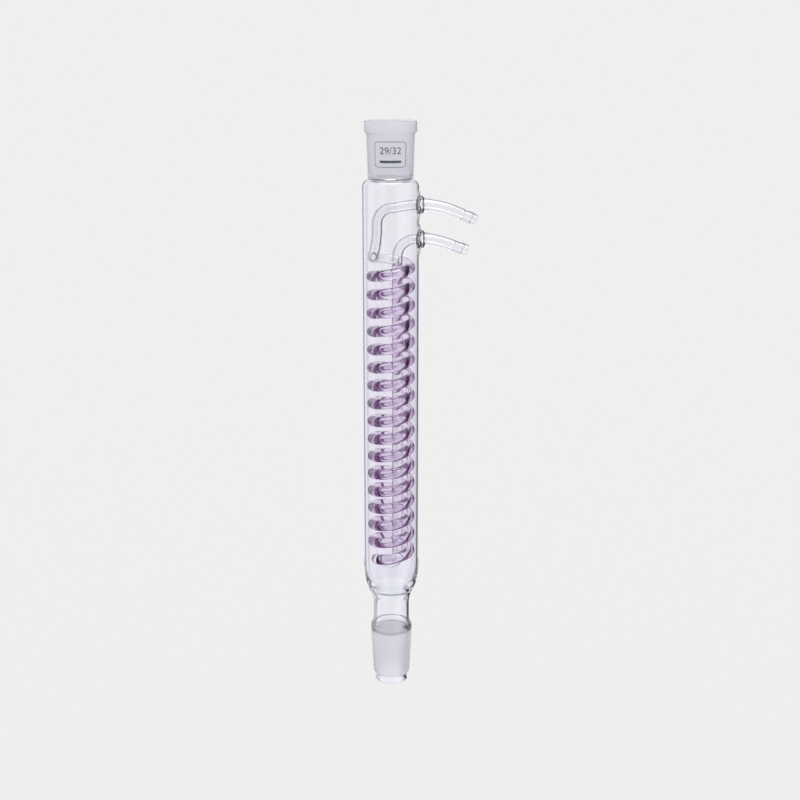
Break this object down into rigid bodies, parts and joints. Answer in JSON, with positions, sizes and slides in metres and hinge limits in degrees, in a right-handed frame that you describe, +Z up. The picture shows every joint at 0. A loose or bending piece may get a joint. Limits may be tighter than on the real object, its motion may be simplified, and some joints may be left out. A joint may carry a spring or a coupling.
{
  "type": "coil condenser",
  "caption": "Glass coil condenser: a jacket for vapour round a coil of dyed cooling water, with a ground socket above, a ground cone below and curved hose nozzles.",
  "frame": {"origin": "on the jacket's axis, at the gauge plane of the ground cone, where the cone is 29.2 mm across", "axes": "+Z up along the axis towards the socket, +X the way the hose nozzles point"},
  "size_m": [0.0776, 0.039, 0.3998],
  "materials": {
    "clear_glass": "clear, polished",
    "ground_glass": "ground, frosted",
    "dyed_water": "clear purple liquid"
  },
  "bodies": {
    "root": {"socket": "ground_glass", "jacket": "clear_glass", "ground_cone": "ground_glass", "upper_ring_seal": "clear_glass", "lower_ring_seal": "clear_glass", "upper_nozzle": "clear_glass", "lower_nozzle": "clear_glass", "upper_inner_tube": "clear_glass", "lower_inner_tube": "clear_glass", "return_tube": "clear_glass", "coil_end_bend": "clear_glass", "coil": "clear_glass", "coolant": "dyed_water"}
  },
  "joints": []
}
